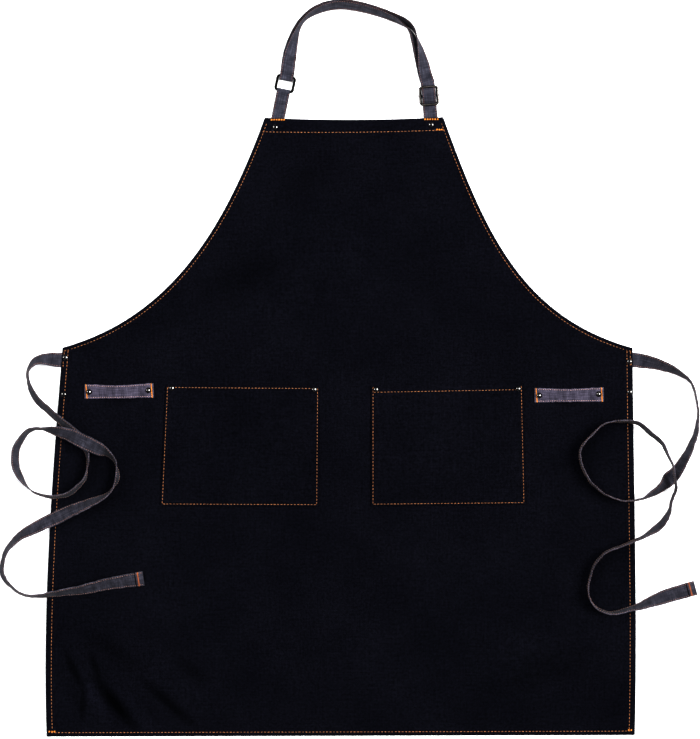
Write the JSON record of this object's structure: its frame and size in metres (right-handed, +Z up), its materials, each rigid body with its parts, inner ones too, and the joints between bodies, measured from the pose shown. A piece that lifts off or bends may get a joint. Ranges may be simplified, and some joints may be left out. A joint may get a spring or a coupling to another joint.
{
  "type": "bib apron",
  "caption": "Bib apron of dark canvas lying on its back, with patch pockets, towel loops, a neck strap through a ring and a slider, and loose waist ties.",
  "frame": {"origin": "middle of the apron without its loose ties, on the surface it lies on", "axes": "+X to the right as seen from the front, +Y towards the neck, +Z up out of the front"},
  "size_m": [0.8739, 0.9211, 0.0273],
  "materials": {
    "canvas": "matt twill weave",
    "tape": "matt chambray weave",
    "dark_metal": "dark polished nickel",
    "nickel": "polished"
  },
  "bodies": {
    "root": {"body_panel": "canvas", "pocket_left": "canvas", "pocket_right": "canvas", "towel_loop_left": "tape", "towel_loop_right": "tape", "neck_tab": "tape", "neck_ring": "dark_metal", "neck_strap": "tape", "neck_slider": "nickel", "tie_left": "tape", "tie_right": "tape", "rivet_bib_left": "nickel", "rivet_bib_right": "nickel", "rivet_side_left_upper": "nickel", "rivet_side_right_upper": "nickel", "rivet_side_left_lower": "nickel", "rivet_side_right_lower": "nickel", "rivet_pocket_left_a": "nickel", "rivet_pocket_left_b": "nickel", "rivet_pocket_right_a": "nickel", "rivet_pocket_right_b": "nickel", "rivet_loop_left_a": "nickel", "rivet_loop_left_b": "nickel", "rivet_loop_right_a": "nickel", "rivet_loop_right_b": "nickel"}
  },
  "joints": []
}
